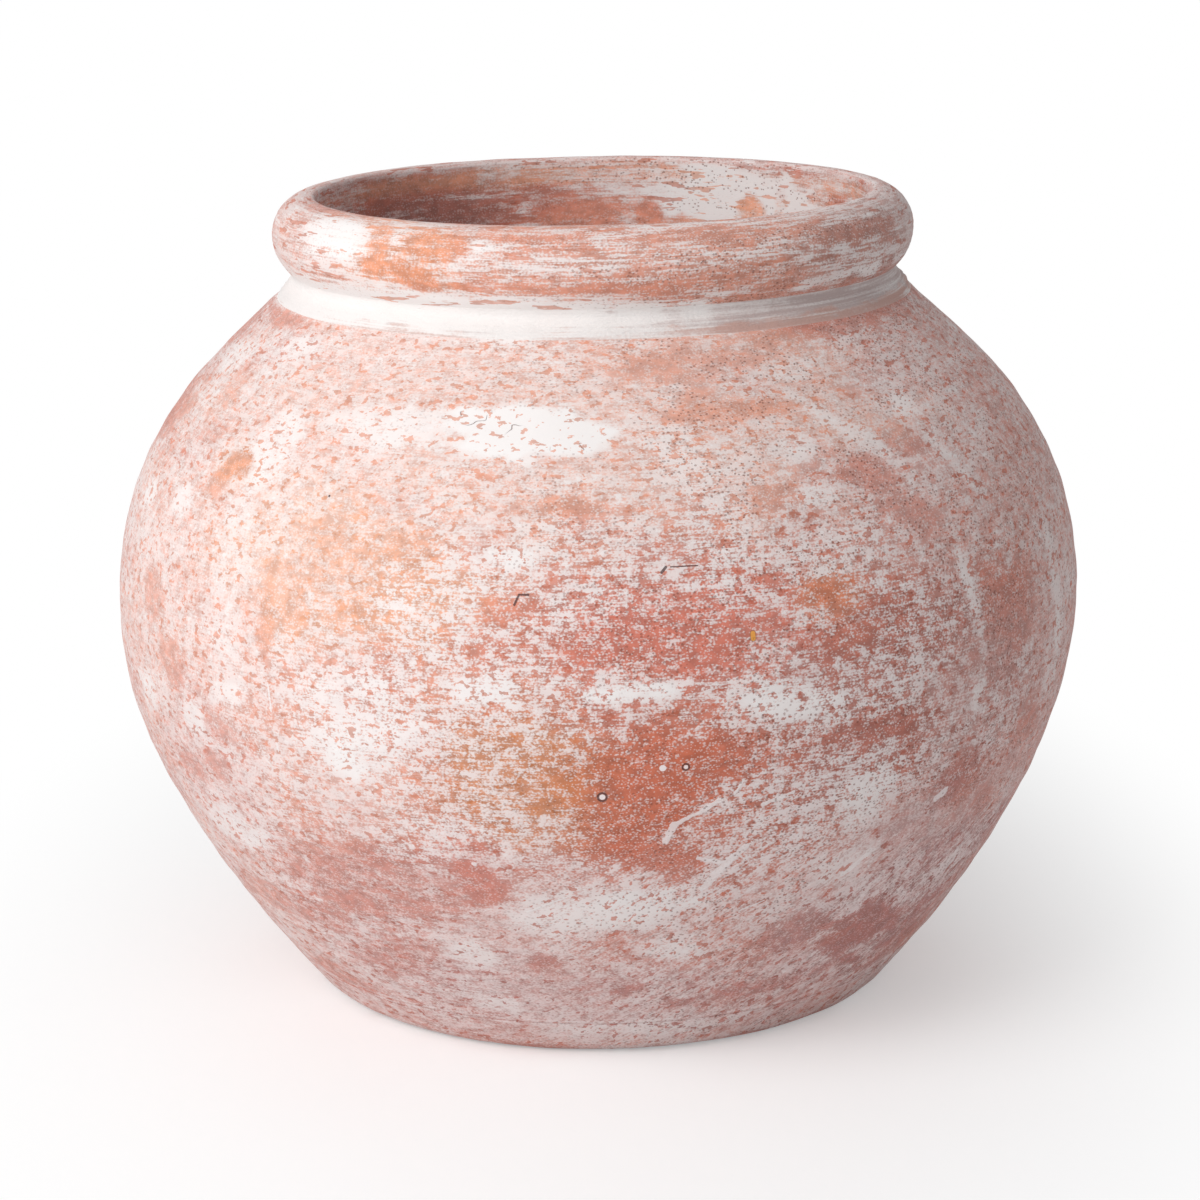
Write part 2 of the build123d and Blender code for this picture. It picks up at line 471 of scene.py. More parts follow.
# %% Belt coil, smeared over the belly joint
inner_wall = np.vstack((inner_haunch[:0:-1], inner_shoulder))
belt_lean = 2 * math.atan(belt_depth / belt_half)
belt_start = (belly_radius - wall, belly_height - belt_half)
belt_end = (belly_radius - wall, belly_height + belt_half)
belt_arc, _ = arc(belt_start, (-math.sin(belt_lean), math.cos(belt_lean)), belt_end, 1.5 * MM)
belt_face = np.array([p for p in belt_arc if p[0] < radius_at(p[1], inner_wall)])
behind_belt = [p for p in inner_wall[::-1] if belt_face[0][1] < p[1] < belt_face[-1][1]]
belt_coil = spin(
    "belt_coil_clay",
    [
        ("inside", belt_inside, belt_face),
        ("joint", 0, np.vstack((belt_face[-1:], behind_belt))),
    ],
)


# %% Neck fillet, from the shoulder over the joint and in under the roll
def point_at(points, length):
    """The point that far along a line of points."""
    return np.array([np.interp(length, run_along(points), across) for across in points.T])


fillet_start = point_at(outer_shoulder, shoulder_length - fillet_length)
start_heading = point_at(outer_shoulder, shoulder_length - fillet_length + MM) - fillet_start
over_edge, heading = arc(fillet_start, start_heading, np.array(neck_edge) + fillet_cover, close)
fillet_reach = point_at(under_roll, fillet_reach_share * length_of(under_roll)) - (fillet_lap, 0)
fingertip, _ = arc(over_edge[-1], heading, fillet_reach, close)
clear = [p[1] < roll_foot or p[0] > radius_at(p[1], under_roll) for p in fingertip]
above_collar = fingertip[1 : clear.index(False) + 1 if False in clear else None]
under_the_roll = [p for p in under_roll if p[0] > collar_radius and p[1] < above_collar[-1][1]]
on_shoulder = [p for p in outer_shoulder[::-1] if fillet_start[1] < p[1] < neck_height]
neck_fillet = spin(
    "neck_fillet_slip",
    [
        ("outside", neck_length - fillet_length, np.vstack((over_edge, above_collar))),
        ("joint", 0, np.vstack((above_collar[-1:], under_the_roll, [meeting, collar_foot, neck_edge]))),
        ("joint", 0, np.vstack(([neck_edge], on_shoulder))),
    ],
)

# %% [markdown]
# ## The maker's hand
#
# A thrown wall is never exact. It leans a little out of round, it swells and dips where it was pressed
# to the joints, and inside it keeps the spiral of the thrower's knuckles. Relief that follows the
# surface is worked out for each vertex and pushed out along the normal by a Displace modifier. It fades
# to nothing at the joints, so that the pieces still meet. The lean out of round is common to all pieces:
# a Displace modifier moves every one of them by the same soft clouds.
#
# Clouds are asked for by the width and the height of their blots in millimetres, and by a seed. They are
# multiplied by a height in millimetres.

# %% What each vertex of a piece knows
class Skin:
    """Where each vertex of a piece lies on the jar at the moment."""

    def __init__(self, piece):
        row = read(piece, "row").astype(int)
        self.places = coordinates(piece)
        self.side = np.array(piece["sides"])[row]
        self.length = np.array(piece["lengths"])[row] / MM
        self.angle = np.degrees(np.arctan2(self.places[:, 0], -self.places[:, 1]))
        self.radius = np.hypot(self.places[:, 0], self.places[:, 1]) / MM
        self.height = self.places[:, 2] / MM

    def on(self, side):
        return self.side == SIDES.index(side)

    def clear_of_joints(self, side, margin=6, under_slip=0):
        """1 on that side of the piece, fading to 0 at its joints, and where the neck's slip covers it."""
        there = self.on(side)
        low, high = self.length[there].min(), self.length[there].max() - under_slip
        reach = np.minimum(self.length - low, high - self.length) / margin
        return np.where(there, smooth(reach, 0, 1), 0)

    def cloud(self, wide, tall, seed, octaves=2):
        """Soft noise between about -1 and 1, in blots that wide round the jar and that tall."""
        flat = self.places[:, :2] / MM / wide
        up = (self.length + 40 * seed) / tall
        points = np.column_stack((flat, up))
        return np.array([noise.fractal(Vector(p), 1.0, 2.0, octaves) for p in points])


def smooth(value, low, high):
    """0 below low, 1 above high, and an S-curve between. It runs down where low is the larger."""
    share = np.clip((value - low) / (high - low), 0, 1)
    return share * share * (3 - 2 * share)


# %% Push a piece's surface out and in
def weigh(piece, name, weights, levels=200):
    """A vertex group with those weights, in steps fine enough not to show."""
    group = piece.vertex_groups.new(name=name)
    level = np.rint(weights * levels).astype(int)
    for step in range(1, levels + 1):
        group.add(np.flatnonzero(level == step).tolist(), step / levels, "REPLACE")
    return group


def relieve(piece, heights):
    """Moves each vertex along its normal by its height in millimetres."""
    for name, sign in (("raised", 1), ("pressed", -1)):
        part = np.maximum(heights * sign, 0)
        if part.max() > 0:
            weigh(piece, name, part / part.max())
            push = piece.modifiers.new(name, "DISPLACE")
            push.strength = sign * part.max() * MM
            push.mid_level = 0
            push.vertex_group = name
            apply(piece, push)
            piece.vertex_groups.remove(piece.vertex_groups[name])
    print(piece.name, "relief", round(float(heights.min()), 2), "to", round(float(heights.max()), 2), "mm")


# %% Relief of the two bowls: soft swells and faint bands outside, knuckle rings inside
ring_pitch = 9.0
band_pitch = 17.0
under_slip = fillet_length / MM + 0.5

for piece in (lower_bowl, upper_bowl):
    skin = Skin(piece)
    swell = skin.cloud(60, 45, 1) * 0.45 + skin.cloud(22, 14, 2) * 0.16
    bands = np.sin(skin.length / band_pitch * math.tau + skin.cloud(90, 90, 3) * 5) * 0.10
    brushed = skin.cloud(9, 2.6, 4) * 0.05
    covered = under_slip if piece is upper_bowl else 0
    outside = (swell + bands + brushed) * skin.clear_of_joints("outside", under_slip=covered)
    spiral = skin.length / ring_pitch + skin.angle / 360 + skin.cloud(80, 60, 5) * 0.35
    rings = (0.5 + 0.5 * np.sin(spiral * math.tau)) * 0.7 + skin.cloud(30, 20, 6) * 0.35
    inside = rings * skin.clear_of_joints("inside", 10)
    relieve(piece, outside + inside)

# %% Relief of the rim: fine turned lines, clear of the slip under the roll
line_pitch = 2.3
slip_on_roll = length_of(np.array(roll_lower)) - fillet_reach_share * length_of(under_roll)
past_slip = (neck_length + slip_on_roll) / MM

skin = Skin(rolled_rim)
swell = skin.cloud(38, 30, 11) * 0.30 + skin.cloud(14, 8, 12) * 0.08
turned_lines = np.sin(skin.length / line_pitch * math.tau + skin.cloud(70, 60, 13) * 4) * 0.035
turned_lines += skin.cloud(26, 1.6, 14) * 0.05
fade = skin.clear_of_joints("outside", 4) * smooth(skin.length, past_slip, past_slip + 4)
relieve(rolled_rim, (swell + turned_lines) * fade)

# %% Relief of the slab: a spiral of finger rings on the floor of the jar
finger_pitch = 8

skin = Skin(base_slab)
floor_rings = np.sin((skin.radius / finger_pitch + skin.angle / 360) * math.tau) * 0.35
on_floor = skin.on("inside") & (skin.height > slab_top / MM - 1)
floor_fade = smooth(skin.radius, 4, 20) * smooth(skin.radius, corner[0] / MM - 1, corner[0] / MM - 8)
edge = skin.cloud(24, 12, 15) * 0.3 * skin.clear_of_joints("outside", 3)
relieve(base_slab, edge + np.where(on_floor, (floor_rings + 0.35) * floor_fade, 0))

# %% Relief of the coils: a dent for each press of a finger
dents_round = 34

for piece, depth, margin in ((corner_coil, 0.8, 9), (belt_coil, 0.45, 4)):
    skin = Skin(piece)
    finger_dents = np.sin(skin.angle / 360 * math.tau * dents_round + skin.cloud(60, 60, 16) * 5)
    heights = (finger_dents + skin.cloud(16, 12, 17)) * depth * 0.5
    relieve(piece, heights * skin.clear_of_joints("inside", margin))

# %% Relief of the slip: lumps, and grooves that a fingertip left
groove_pitch = 2.6
film = 0.018  # how fast the slip thickens from its lower edge, by the square of the distance

skin = Skin(neck_fillet)
lumps = skin.cloud(20, 14, 18) * 0.5 + skin.cloud(8, 5, 19) * 0.15
grooves = np.sin(skin.length / groove_pitch * math.tau + skin.cloud(60, 50, 20) * 3) * 0.18
fingertip_groove = -0.7 * smooth(skin.length, 310, 314) + 0.5 * smooth(skin.length, 305, 308)
heights = (lumps + grooves + fingertip_groove) * skin.clear_of_joints("outside", 2.5)
from_edge = skin.length - (neck_length - fillet_length) / MM
relieve(neck_fillet, np.maximum(heights, np.where(skin.on("outside"), -film * from_edge**2, 0)))

# %% Out of round: the same soft clouds move every piece
pieces = [base_slab, lower_bowl, upper_bowl, rolled_rim, corner_coil, belt_coil, neck_fillet]
travel = 1.2
cloud_sizes = {"X": 0.11, "Y": 0.13}

for axis, cloud_size in cloud_sizes.items():
    clouds = bpy.data.textures.new("clouds " + axis, "CLOUDS")
    clouds.noise_scale = cloud_size
    clouds.noise_depth = 0
    for piece in pieces:
        lean = piece.modifiers.new("lean", "DISPLACE")
        lean.texture = clouds
        lean.texture_coords = "LOCAL"
        lean.direction = axis
        lean.strength = travel * MM
        apply(piece, lean)
print("out of round by up to", travel / 2, "mm, each way")

# %% [markdown]
# ## Where the wash has stayed and where it has worn off
#
# The wash was brushed on thick, let dry, and rubbed back. What is left differs from place to place:
# thick at the neck and in dabs on the shoulder, thin or gone where the belly was rubbed. These places
# are painted one oval dab a line. Each dab has an angle round the jar (0 faces the camera, 90 is
# to its right), a length up the wall, a width and a height in millimetres, a tilt, and how much wash it
# adds, or takes away where it is negative. The material breaks their edges up later.

# %% Dabs of wash on the outside, as seen from the front
shoulder_patch = (-10, 267, 46, 17, 3)
front_dabs = (
    # the shoulder's thick white patch, and what runs off from it
    (*shoulder_patch, 0.60),
    (-28, 266, 60, 16, 4, 0.32),
    (-46, 255, 20, 30, 0, 0.28),
    (-55, 291, 20, 12, 0, 0.28),
    (-72, 282, 30, 15, 0, 0.22),
    (26, 256, 16, 12, 0, 0.25),
    (47, 266, 14, 9, 0, 0.32),
    (30, 288, 30, 10, 5, 0.22),
    (27, 238, 16, 8, 0, 0.25),
    # the left side
    (-46, 203, 16, 70, 2, 0.11),
    (-60, 225, 16, 11, 0, 0.30),
    (-72, 222, 18, 12, 0, 0.30),
    (-10, 222, 16, 10, 0, 0.22),
    (-22, 207, 16, 10, 0, 0.26),
    (-45, 165, 16, 12, 0, 0.30),
    (-29, 148, 16, 11, 0, 0.30),
    (-28, 162, 46, 38, 0, 0.12),
    (-12, 178, 22, 13, 0, 0.28),
    (-65, 152, 18, 16, 0, 0.28),
    (-53, 150, 12, 12, 0, 0.25),
    (-52, 107, 44, 17, 0, 0.26),
    # the middle and the right
    (4, 178, 38, 7, 1, 0.42),
    (21, 171, 40, 10, -8, 0.34),
    (31, 130, 22, 18, 20, 0.26),
    (30, 101, 24, 15, 20, 0.24),
    (0, 90, 58, 22, 6, 0.34),
    (10, 70, 20, 14, 0, 0.26),
    (-17, 66, 20, 13, 0, 0.22),
    (-17, 35, 22, 11, 0, 0.20),
    (54, 85, 26, 22, 15, 0.18),
    (65, 160, 18, 34, -8, 0.20),
    (70, 190, 30, 70, 0, 0.12),
    (58, 255, 34, 26, -20, 0.14),
    (8, 20, 60, 12, 0, 0.16),
    # long marks of the brush on the right
    (35.5, 259, 44, 8, -45, 0.32),
    (50, 240, 34, 6, -62, 0.24),
    (46.2, 191, 46, 6, -80, 0.40),
    (46.5, 160, 16, 6, -85, 0.34),
    (66, 182, 50, 8, -85, 0.20),
)

# %% Places that are rubbed bare
# the right of the neck: thin slip, and partly painted shade from the roll above
thin_slip_and_roll_shade = (66, 312, 190, 16, 0)
front_bare = (
    # the red heart of the belly
    (3, 142, 46, 50, 0, -0.44),
    (13, 152, 30, 16, 5, -0.30),
    (8, 195, 56, 28, 4, -0.32),
    (30, 155, 58, 11, 8, -0.28),
    (29, 193, 38, 25, 0, -0.20),
    (25, 205, 14, 10, 0, -0.30),
    (50, 182, 30, 34, 5, -0.26),
    (46, 127, 26, 26, 20, -0.26),
    (60, 136, 18, 12, 20, -0.24),
    (54, 112, 12, 12, 0, -0.20),
    (62, 165, 130, 260, 0, -0.10),
    (55, 186, 26, 34, -10, -0.22),
    (38, 232, 44, 12, -50, -0.22),
    (25.8, 206.5, 7, 4, -20, -0.70),
    (31.5, 244.5, 6, 3.5, -20, -0.70),
    (9, 112, 14, 14, 0, -0.26),
    # low on the right
    (39, 65, 28, 30, 25, -0.44),
    (26, 70, 34, 18, 15, -0.26),
    (53, 45, 40, 28, 25, -0.22),
    (25, 40, 76, 9, 6, -0.22),
    # low on the left
    (-31, 95, 64, 40, 0, -0.19),
    (-15, 107, 16, 24, 0, -0.44),
    (-28, 112, 12, 10, 0, -0.26),
    (-48, 72, 68, 15, 0, -0.22),
    (-50, 30, 32, 18, 0, -0.20),
    (-32, 55, 40, 28, 0, -0.16),
    (-8, 62, 12, 10, 0, -0.24),
    (4, 48, 14, 8, 0, -0.24),
    # the left side
    (-57, 130, 16, 12, 0, -0.26),
    (-50, 135, 14, 12, 0, -0.24),
    (-48, 150, 12, 12, 0, -0.24),
    (-57, 170, 18, 16, 0, -0.26),
    (-62, 190, 16, 18, 0, -0.24),
    (-39, 200, 6, 32, 0, -0.34),
    (-30, 215, 50, 36, 0, -0.16),
    (-10, 205, 18, 9, 0, -0.22),
    (-51, 243, 15, 9, 10, -0.56),
    (-60, 252, 14, 10, 0, -0.22),
    (-53, 235, 14, 9, 20, -0.24),
    (-22, 222, 15, 9, 0, -0.26),
    # the shoulder
    (-4, 239, 34, 8, 0, -0.22),
    (20, 240, 18, 9, 0, -0.18),
    (35, 245, 18, 10, 0, -0.18),
    (43, 252, 16, 10, 0, -0.22),
    (18, 273, 44, 5.5, 1, -0.56),
    (15, 280, 14, 6, 0, -0.30),
    (20, 293, 84, 14, 2, -0.22),
    (48, 303, 116, 7, 2, -0.34),
    (-70, 302, 44, 7, 0, -0.34),
    (-64, 270, 16, 30, 10, -0.16),
    # the right of the neck, where the slip is thin and grey, partly painted shade from the roll above
    (*thin_slip_and_roll_shade, -0.62),
    # the edge of the foot
    (-12, 5, 34, 8, 0, -0.26),
    (28, 5, 16, 7, 0, -0.26),
    (44, 5, 18, 7, 0, -0.26),
)

# %% The rolled rim, and the inside of the mouth, where 180 is the far wall and the lip is at 363
rim_dabs = (
    (-51, 339, 42, 14, 0, 0.34),
    (-22, 340, 60, 5, 0, 0.30),
    (10, 325, 130, 12, 0, -0.20),
    (60, 322, 50, 12, 0, 0.22),
    (-27.5, 340, 26, 9, 0, -0.44),
    (-39.5, 340, 10, 14, 20, -0.36),
    (-31.8, 328, 16, 7, -25, -0.50),
    (-39.5, 330, 14, 5, 0, -0.40),
    (-12, 341, 40, 6, 0, -0.30),
    (8, 325, 60, 3, 0, -0.40),
    (14, 320, 26, 4, 0, -0.46),
    (33, 322, 14, 5, 0, -0.40),
    (28, 342, 80, 7, 0, -0.16),
    (52, 338, 40, 8, 0, -0.36),
    (-60, 350, 60, 5, 0, -0.22),
    (20, 355, 90, 5, 0, -0.18),
    (178, 361, 260, 2.4, 0, -0.60),
)
mouth_dabs = (
    (142, 374, 90, 36, 0, 0.60),
    (176, 368, 44, 9, 0, 0.22),
    (190, 386, 50, 8, 0, 0.20),
    (142, 378, 14, 18, 10, -0.62),
    (134, 370, 8, 12, 0, -0.30),
    (158, 382, 20, 8, 0, -0.62),
    (150, 385, 46, 5, 0, -0.50),
    (167, 379, 11, 14, 8, -0.56),
    (118, 366, 24, 6, 0, -0.44),
    (183, 376, 34, 16, 6, -0.30),
    (222, 380, 70, 50, 0, -0.40),
    (210, 364, 90, 6, 0, -0.30),
    (225, 372, 16, 10, 0, 0.22),
)

# %% The back is painted in the same manner, from a fixed throw of dice
dice = np.random.default_rng(11)
back_dabs = []
back_angles = range(84, 278, 5)
dabs_each = 5
for angle in back_angles:
    for _ in range(dabs_each):
        wide = float(dice.uniform(8, 52))
        tall = wide * float(dice.uniform(0.25, 0.6))
        amount = float(dice.uniform(0.14, 0.40)) * (1 if dice.random() < 0.5 else -1)
        tilt = float(dice.uniform(-6, 18))
        back_dabs.append((angle, float(dice.uniform(20, 305)), wide, tall, tilt, amount))
print(len(front_dabs) + len(front_bare), "dabs in front,", len(back_dabs), "at the back")


# %% One dab, with a frayed edge
def oval(skin, angle, length, wide, tall, tilt):
    """1 inside that oval, fading to 0 past its edge, which the skin's fray draws in and out."""
    here = np.abs(skin.length - length) < tall + wide
    radius = np.median(skin.radius[here]) if here.any() else 150
    turn = (skin.angle - angle + 180) % 360 - 180
    across = np.radians(turn) * radius
    up = skin.length - length
    lean = math.radians(tilt)
    along = across * math.cos(lean) + up * math.sin(lean)
    over = up * math.cos(lean) - across * math.sin(lean)
    reach = np.hypot(along / wide * 2, over / tall * 2) + skin.fray * 0.45
    return smooth(reach, 1.45, 0.55)


# %% Sum the dabs up for each vertex
dab_strength = 0.6
worn_strength = 0.80
middle_wash = 0.52
wash_range = 0.30


def wash_left(skin, base, dabs):
    """How much wash is left at each vertex: 0 is bare clay and 1 is thick white.

    The sum is bent back towards its middle, so that dabs that overlap don't add up to a hard patch.
    """
    total = np.full(len(skin.length), float(base))
    for *place, amount in dabs:
        strength = dab_strength if amount > 0 else worn_strength
        total += oval(skin, *place) * amount * strength
    total += skin.blots * 0.06
    return middle_wash + wash_range * np.tanh((total - middle_wash) / wash_range)


# %% The thickest wash of all, and slip that runs over from the neck
def thick_patch(skin):
    """More wash on the front of the shoulder, past what the sum of the dabs can reach."""
    return 0.22 * oval(skin, *shoulder_patch)


def slip_band(skin):
    """The white slip that was smeared from the neck over the top of the shoulder."""
    edge = 303 + skin.fray * 3 + 3 * np.sin(np.radians(skin.angle + 60))
    # the white band thins on the right of the neck, partly painted shade from the roll above
    thinner = 1 - 0.8 * oval(skin, *thin_slip_and_roll_shade)
    return 0.36 * thinner * smooth(skin.length, edge, edge + 7) * smooth(skin.length, 327, 313)


# %% Paint every piece
outside_wash = 0.545
inside_wash = 0.50
outside_dabs = front_dabs + front_bare + rim_dabs + tuple(back_dabs)

for piece in pieces:
    skin = Skin(piece)
    skin.fray = skin.cloud(11, 7, 31, 3) + skin.cloud(28, 16, 33, 2) * 0.8
    skin.blots = skin.cloud(46, 26, 32, 3)
    outside = wash_left(skin, outside_wash, outside_dabs) + slip_band(skin) + thick_patch(skin)
    wash = np.where(skin.on("inside"), wash_left(skin, inside_wash, mouth_dabs), outside)
    write(piece, "wash", np.clip(wash, 0, 1.1))
    write(piece, "up", skin.length)
    print(piece.name, "wash", round(float(wash.min()), 2), "to", round(float(wash.max()), 2))

# %% [markdown]
# ## Colour of the clay
#
# The clay is not one red. It fired ochre and orange on the belly and peach on the left of the shoulder.
# On the right it is darker brown-red, partly its own colour and partly painted shade away from the lamp,
# low at the front it is darker too, and inside the mouth it has painted light on the right and painted
# shade on the left. A colour is laid down for each vertex, and the material reads it.

# %% Colours of the clay, and where each one shows
clay_red = (0.58, 0.16, 0.095)
clay_tints_and_painted_light = (
    # angle, length, width, height, tilt, red, green, blue, strength
    (-45, 200, 200, 260, 0, 0.74, 0.29, 0.185, 0.95),
    (-10, 275, 260, 90, 0, 0.76, 0.31, 0.19, 0.90),
    (-10, 335, 300, 60, 0, 0.70, 0.27, 0.17, 0.80),
    (178, 361, 300, 8, 0, 0.80, 0.34, 0.20, 1.0),
    (-32, 218, 80, 62, 0, 0.80, 0.36, 0.20, 0.90),
    (-51, 243, 30, 20, 0, 0.74, 0.26, 0.10, 0.90),
    (-8, 146, 50, 56, 0, 0.62, 0.21, 0.07, 0.95),
    (8, 140, 60, 64, 0, 0.58, 0.125, 0.05, 0.80),
    (-15, 108, 30, 34, 0, 0.62, 0.15, 0.09, 0.80),
    (10, 196, 90, 40, 0, 0.64, 0.15, 0.09, 0.75),
    (26, 205, 24, 20, 0, 0.70, 0.22, 0.10, 0.80),
    (18, 273, 70, 18, 0, 0.74, 0.26, 0.14, 0.80),
    (20, 290, 120, 24, 0, 0.72, 0.26, 0.15, 0.60),
    # brown-red on the right: partly the clay's own colour, partly painted shade on the side away from the
    # lamp
    (40, 160, 110, 80, 0, 0.45, 0.13, 0.09, 0.70),
    (48, 75, 120, 90, 0, 0.36, 0.10, 0.085, 0.75),
    (-30, 80, 110, 80, 0, 0.55, 0.165, 0.115, 0.80),
    (-52, 130, 60, 60, 0, 0.58, 0.18, 0.13, 0.60),
    # darker low at the front
    (0, 40, 200, 50, 0, 0.44, 0.14, 0.12, 0.60),
    (-36, 337, 60, 34, 0, 0.78, 0.30, 0.15, 0.90),
    (24, 338, 130, 34, 0, 0.68, 0.27, 0.18, 0.80),
    # darker on the right of the rim: partly painted shade away from the lamp
    (70, 335, 120, 40, 0, 0.42, 0.17, 0.13, 0.70),
    # inside the mouth: lighter on the right, partly painted light where the lamp falls, and darker on the
    # left, partly painted shade
    (140, 385, 110, 44, 0, 0.88, 0.40, 0.24, 0.95),
    (176, 385, 80, 44, 0, 0.74, 0.27, 0.17, 0.85),
    (222, 385, 90, 44, 0, 0.36, 0.12, 0.09, 0.85),
)


def blend(low, high, share):
    """Between two colours, row by row."""
    return low + (high - low) * share[:, None]


def clay_colours(skin):
    """The clay's colour at each vertex, one tint laid over the other."""
    colour = np.tile(clay_red, (len(skin.length), 1))
    for *place, red, green, blue, strength in clay_tints_and_painted_light:
        colour = blend(colour, np.array((red, green, blue)), oval(skin, *place) * strength)
    return colour


# the clay colour laid down here carries the tints' painted light and shade
for piece in pieces:
    skin = Skin(piece)
    skin.fray = skin.cloud(30, 22, 41, 2)
    layer = piece.data.attributes.new("clay", "FLOAT_COLOR", "POINT")
    rgba = np.column_stack((clay_colours(skin), np.ones(len(skin.length))))
    layer.data.foreach_set("color", rgba.astype(np.float32).ravel())
print("clay colours laid on", len(pieces), "pieces")

# %% [markdown]
# ## Nodes by hand and nodes in code
#
# A finish on clay is a sum of many small things, and by hand that is a wide web of Math nodes. Here the
# web is written as sums instead. A Wire stands for a socket, and adding two wires adds the Math node.
# Whatever else is needed, such as a texture, comes from one method that names the node and fills it in.

# %% A socket that Python can reckon with
class Wire:
    """One output socket, on which the signs + - * and / add Math nodes."""

    def __init__(self, nodes, socket):
        self.nodes = nodes
        self.socket = socket

    def reckon(self, operation, first, second):
        return self.nodes.node("ShaderNodeMath", {"operation": operation}, {0: first, 1: second})

    def __add__(self, other):
        return self.reckon("ADD", self, other)

    def __sub__(self, other):
        return self.reckon("SUBTRACT", self, other)

    def __rsub__(self, other):
        return self.reckon("SUBTRACT", other, self)

    def __mul__(self, other):
        return self.reckon("MULTIPLY", self, other)

    def __truediv__(self, other):
        return self.reckon("DIVIDE", self, other)

    __radd__ = __add__
    __rmul__ = __mul__

    def size(self):
        """The value without its sign."""
        return self.nodes.node("ShaderNodeMath", {"operation": "ABSOLUTE"}, {0: self})

    def least(self, other):
        return self.reckon("MINIMUM", self, other)

    def most(self, other):
        return self.reckon("MAXIMUM", self, other)

    def crest(self, width):
        """A thin line where the value passes 0, as a crack runs."""
        return self.size().between(width, 0)

    def between(self, low, high, start=0, end=1):
        """An S-curve from start at low to end at high."""
        settings = {"interpolation_type": "SMOOTHSTEP"}
        values = {0: self, 1: low, 2: high, 3: start, 4: end}
        return self.nodes.node("ShaderNodeMapRange", settings, values)


# %% A tree of nodes, which a material and the world both have
class Nodes:
    """A node tree whose nodes are added one at a time."""

    def __init__(self, tree):
        self.tree = tree

    def node(self, kind, settings=None, values=None, output=0):
        """Adds a node, sets it up, and gives back one of its outputs."""
        node = self.tree.nodes.new(kind)
        for name, setting in (settings or {}).items():
            setattr(node, name, setting)
        for socket, value in (values or {}).items():
            self.join(value, node.inputs[socket])
        return Wire(self, node.outputs[output])

    def join(self, value, socket):
        """Links a wire to the socket, or sets the socket to a plain value."""
        if isinstance(value, Wire):
            self.tree.links.new(value.socket, socket)
        else:
            socket.default_value = value

    def vector(self, operation, values, output=0):
        return self.node("ShaderNodeVectorMath", {"operation": operation}, values, output)

    def mix(self, share, low, high):
        """Between two colours."""
        values = {0: share, 6: low, 7: high}
        return self.node("ShaderNodeMix", {"data_type": "RGBA"}, values, output=2)

    def read(self, name, output=2):
        """An attribute of the mesh: output 2 is its number and 0 its colour."""
        return self.node("ShaderNodeAttribute", {"attribute_name": name}, output=output)


# %% A material
matt_gloss = 0.25


class Finish(Nodes):
    """A material with one Principled shader."""

    def __init__(self, name):
        self.material = bpy.data.materials.new(name)
        self.material.use_nodes = True
        super().__init__(self.material.node_tree)
        self.shader = self.tree.nodes["Principled BSDF"]

    def finish(self, colour, roughness, height, depth):
        """Joins the last values to the shader. The depth is how far the bump stands up, in millimetres."""
        self.join(colour, self.shader.inputs["Base Color"])
        self.join(roughness, self.shader.inputs["Roughness"])
        self.shader.inputs["Specular IOR Level"].default_value = matt_gloss
        bump = self.node("ShaderNodeBump", None, {"Height": height, "Distance": depth * MM})
        self.join(bump, self.shader.inputs["Normal"])
        return self.material


# %% Noise that follows the wall, in millimetres
stroke_slant = 33  # degrees


class ClayFinish(Finish):
    """A finish that is laid out along the wall: x and y across it, and the length up it."""

    def __init__(self, name):
        super().__init__(name)
        place = self.node("ShaderNodeTexCoord", output=3)
        self.place = self.vector("SCALE", {0: place, "Scale": 1 / MM})
        parts = self.node("ShaderNodeSeparateXYZ", None, {0: self.place}).socket.node
        self.x, self.y, self.z = (Wire(self, part) for part in parts.outputs)
        self.up = self.read("up")
        self.level = self.node("ShaderNodeCombineXYZ", None, {0: self.x, 1: self.y, 2: self.up})
        turn = {1: (0, 0, 0), 2: (0, math.radians(stroke_slant), 0)}
        self.sloping = self.node("ShaderNodeMapping", {"vector_type": "POINT"}, {0: self.place, **turn})
        self.slant = self.read("slant")

    def speckle(self, wide, tall, seed, detail=1.0, place=None, rough=0.5):
        """Noise about 0, in grains that wide round the jar and that tall up the wall."""
        size = (1 / wide, 1 / wide, 1 / tall)
        step = (seed * 7.3, seed * 3.1, seed * 5.7)
        spot = self.vector("MULTIPLY_ADD", {0: place or self.level, 1: size, 2: step})
        values = {"Vector": spot, "Scale": 1.0, "Detail": detail, "Roughness": rough}
        return self.node("ShaderNodeTexNoise", None, values) - 0.5

    def grit(self, wide, tall):
        """Grains that wide and tall: above 0 on each grain, and below it in the gaps between them."""
        size = (1 / wide, 1 / wide, 1 / tall)
        spot = self.vector("MULTIPLY", {0: self.level, 1: size})
        return 0.5 - self.node("ShaderNodeTexVoronoi", None, {"Vector": spot, "Scale": 1.0})

    def from_marks(self, marks):
        """Distance from the nearest of some straight marks, where 1 is the edge of the mark."""
        nearest = None
        for start, end, half_width in marks:
            run = end - start
            arm = self.vector("SUBTRACT", {0: self.place, 1: start})
            share = run / max(run.length_squared, 1)
            along = self.vector("DOT_PRODUCT", {0: arm, 1: share}, output=1)
            along = self.node("ShaderNodeMath", {"operation": "ADD", "use_clamp": True}, {0: along, 1: 0})
            foot = self.vector("SCALE", {0: run, "Scale": along})
            gap = self.vector("DISTANCE", {0: arm, 1: foot}, output=1) / half_width
            nearest = gap if nearest is None else nearest.least(gap)
        return nearest

    def strokes(self, wide, tall, seed, detail=1.0, rough=0.5):
        """Speckle that runs level, or slants where the brush was drawn up to the right."""
        level = self.speckle(wide, tall, seed, detail, rough=rough)
        sloping = self.speckle(wide, tall, seed + 50, detail, self.sloping, rough)
        return level + (sloping - level) * self.slant


print("a clay finish is laid out in millimetres, with strokes that slant by", stroke_slant, "degrees")

